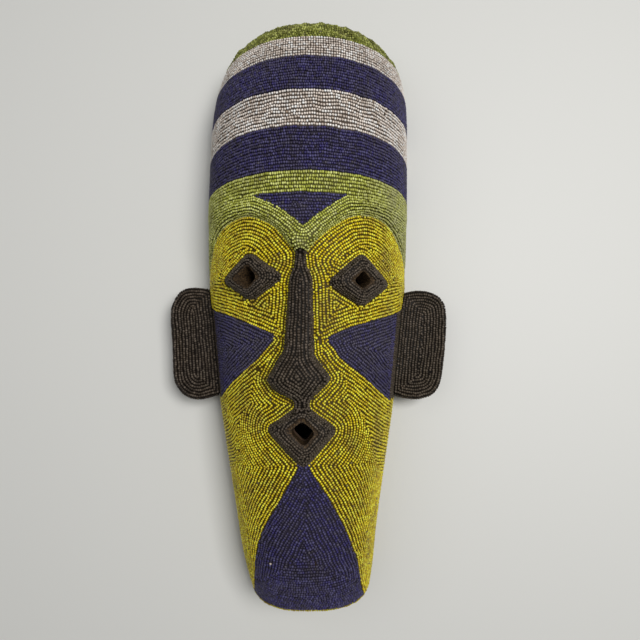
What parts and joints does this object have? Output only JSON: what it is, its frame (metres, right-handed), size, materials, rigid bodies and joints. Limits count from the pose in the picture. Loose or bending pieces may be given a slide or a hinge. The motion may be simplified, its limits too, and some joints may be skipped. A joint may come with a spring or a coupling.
{
  "type": "beaded wooden mask",
  "caption": "Long carved wooden face mask, hollow behind, covered with rows of glass seed beads in stripes and geometric fields, with raised diamond eyes and mouth and flat ears.",
  "frame": {"origin": "under the middle of the whole mask, on the plane of the flat back rim", "axes": "+Z out of the face, +Y towards the crown, +X to the viewer's right"},
  "size_m": [0.2516, 0.511, 0.1141],
  "materials": {
    "carved_wood": "matt, stained brown, tool marks behind",
    "beads_green": "glossy opaque seed beads, lime green",
    "beads_silver": "glossy lustred seed beads, silver white",
    "beads_blue": "glossy opaque seed beads, indigo blue",
    "beads_yellow": "glossy opaque seed beads, yellow",
    "beads_dark": "glossy opaque seed beads, charcoal brown"
  },
  "bodies": {
    "root": {"wooden_mask": "carved_wood", "beads_crown_green": "beads_green", "beads_stripe_silver_upper": "beads_silver", "beads_stripe_blue_upper": "beads_blue", "beads_stripe_silver_lower": "beads_silver", "beads_stripe_blue_lower": "beads_blue", "beads_brow_green": "beads_green", "beads_forehead_triangle_blue": "beads_blue", "beads_eye_field_yellow_left": "beads_yellow", "beads_eye_field_yellow_right": "beads_yellow", "beads_cheek_blue_left": "beads_blue", "beads_cheek_blue_right": "beads_blue", "beads_chin_blue": "beads_blue", "beads_lower_face_yellow_left": "beads_yellow", "beads_lower_face_yellow_right": "beads_yellow", "beads_chin_end_yellow": "beads_yellow", "beads_eye_frame_left": "beads_dark", "beads_eye_frame_right": "beads_dark", "beads_mouth_frame": "beads_dark", "beads_nose": "beads_dark", "beads_ear_left": "beads_dark", "beads_ear_right": "beads_dark"}
  },
  "joints": []
}
